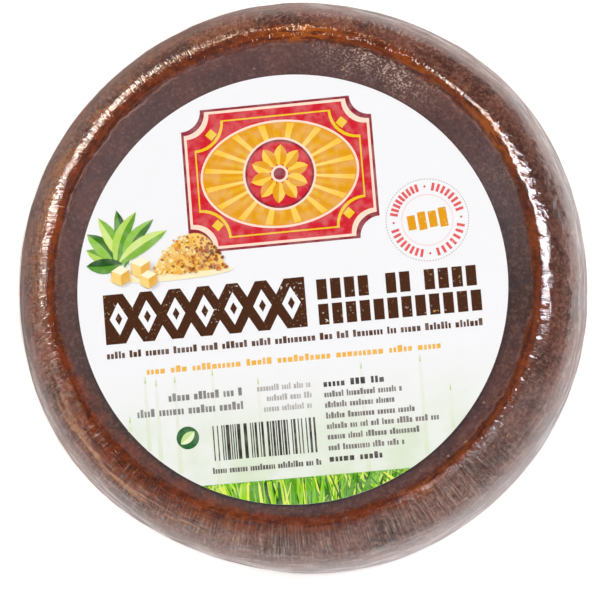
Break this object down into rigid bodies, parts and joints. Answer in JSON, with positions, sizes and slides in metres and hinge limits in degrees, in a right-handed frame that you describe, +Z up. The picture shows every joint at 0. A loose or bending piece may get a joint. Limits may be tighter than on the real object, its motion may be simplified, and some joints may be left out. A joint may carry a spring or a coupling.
{
  "type": "wrapped round sugar block",
  "caption": "Low round block of dark brown whole cane sugar with rounded edges, in clear shrink film, with a round printed paper label on its flat top.",
  "frame": {"origin": "middle of the flat underside, on the surface that the block rests on", "axes": "+Z up out of the labelled face; +X along the label's lines of print, left to right; +Y towards the label's top"},
  "size_m": [0.1272, 0.1282, 0.0294],
  "materials": {
    "cane_sugar": "satin",
    "shrink_film": "gloss",
    "label_paper": "satin",
    "label_print": "satin"
  },
  "bodies": {
    "root": {"wrapped_block": "cane_sugar", "label": "label_paper"}
  },
  "joints": []
}
